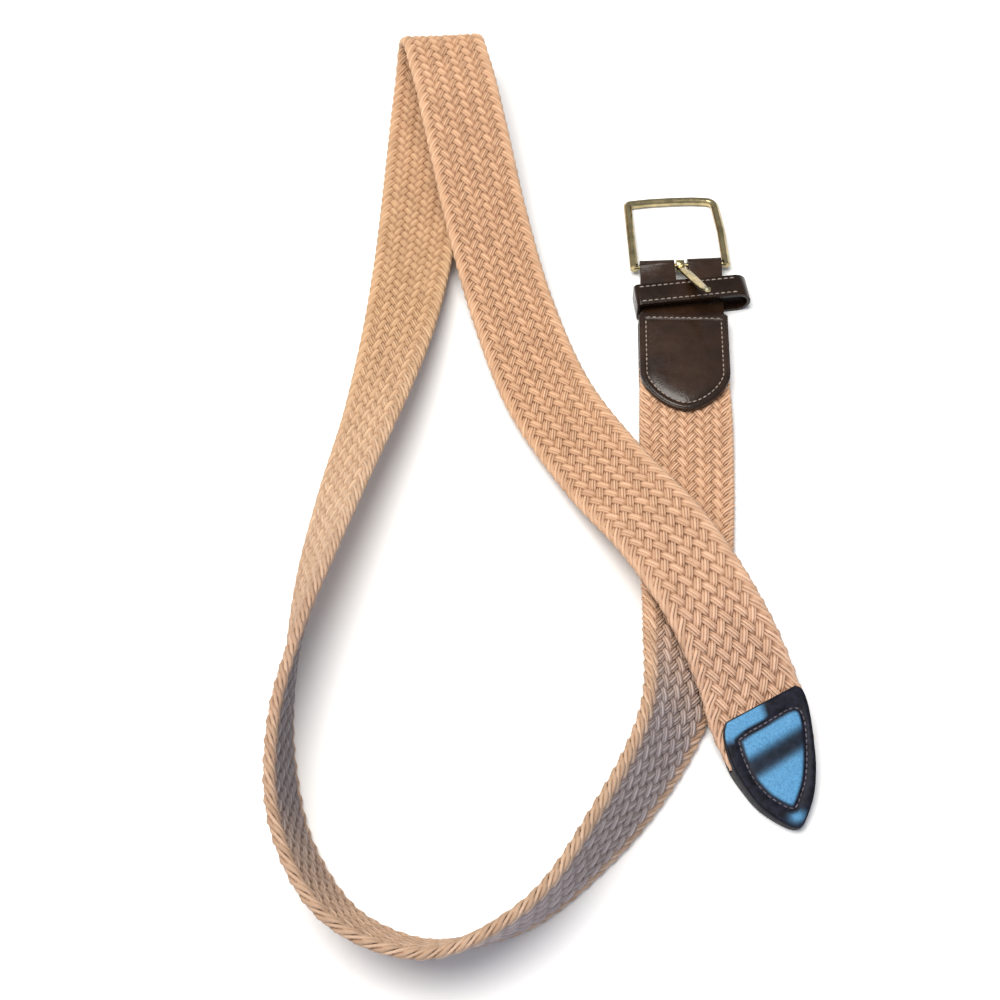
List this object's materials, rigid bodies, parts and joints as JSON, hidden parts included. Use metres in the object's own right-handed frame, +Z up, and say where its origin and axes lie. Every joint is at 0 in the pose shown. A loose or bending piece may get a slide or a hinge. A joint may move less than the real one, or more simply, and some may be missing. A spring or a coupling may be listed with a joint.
{
  "type": "braided belt",
  "caption": "Plaited elastic belt with a single-prong frame buckle, a leather chape and keeper, and a sewn leather tip, lying in a loose crossed loop.",
  "frame": {"origin": "middle of the belt's footprint, on the surface it lies on", "axes": "+Z up off the surface, +Y away from the viewer along the loop's length, +X to the buckle's side"},
  "size_m": [0.1788, 0.3944, 0.0347],
  "materials": {
    "woven_cotton": "matte plaited cotton cord",
    "brown_leather": "glossy, polished edges",
    "aged_brass": "polished, slightly aged",
    "tip_leather": "dark with lighter blue panels"
  },
  "bodies": {
    "belt": {"woven_band": "woven_cotton", "chape": "brown_leather", "keeper_loop": "brown_leather", "tip_leather": "tip_leather"},
    "frame": {"buckle_frame": "aged_brass"},
    "prong": {"tongue": "aged_brass"}
  },
  "joints": [
    {"name": "frame_hinge", "type": "hinge", "parent": "belt", "child": "frame", "pos_m": [0.05535, 0.08763, 0.0039], "axis": [0.9984, 0.0567, 0], "range_deg": [0, 115]},
    {"name": "tongue_hinge", "type": "hinge", "parent": "belt", "child": "prong", "pos_m": [0.05535, 0.08763, 0.0039], "axis": [-0.9984, -0.0567, 0], "range_deg": [0, 140]}
  ]
}
